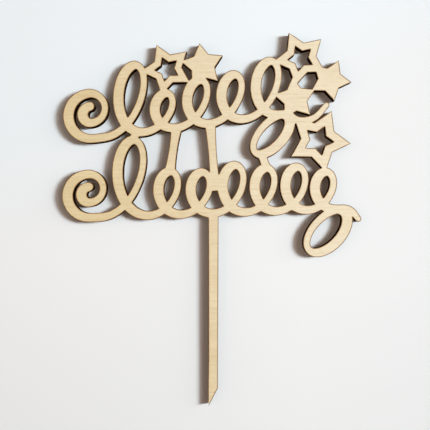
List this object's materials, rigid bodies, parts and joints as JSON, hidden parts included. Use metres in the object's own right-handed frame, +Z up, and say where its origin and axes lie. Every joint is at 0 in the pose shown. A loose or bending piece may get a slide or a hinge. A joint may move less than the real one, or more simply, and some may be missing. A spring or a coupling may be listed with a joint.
{
  "type": "cake topper",
  "caption": "Flat laser-cut plywood cake topper: rows of curled streamers and stars above a pointed stake that stands it in a cake.",
  "frame": {"origin": "where the stake meets the lower row of streamers, on the stake's middle line and half way through the sheet", "axes": "+Z up along the stake, away from its tip; +X to the right as seen from the front; the front faces -Y"},
  "size_m": [0.1507, 0.003, 0.1878],
  "materials": {
    "face_wood": "bare sanded veneer",
    "core_wood": "charred by the laser along the cut"
  },
  "bodies": {
    "root": {"front_veneer": "face_wood", "core_veneer": "core_wood", "back_veneer": "face_wood"}
  },
  "joints": []
}
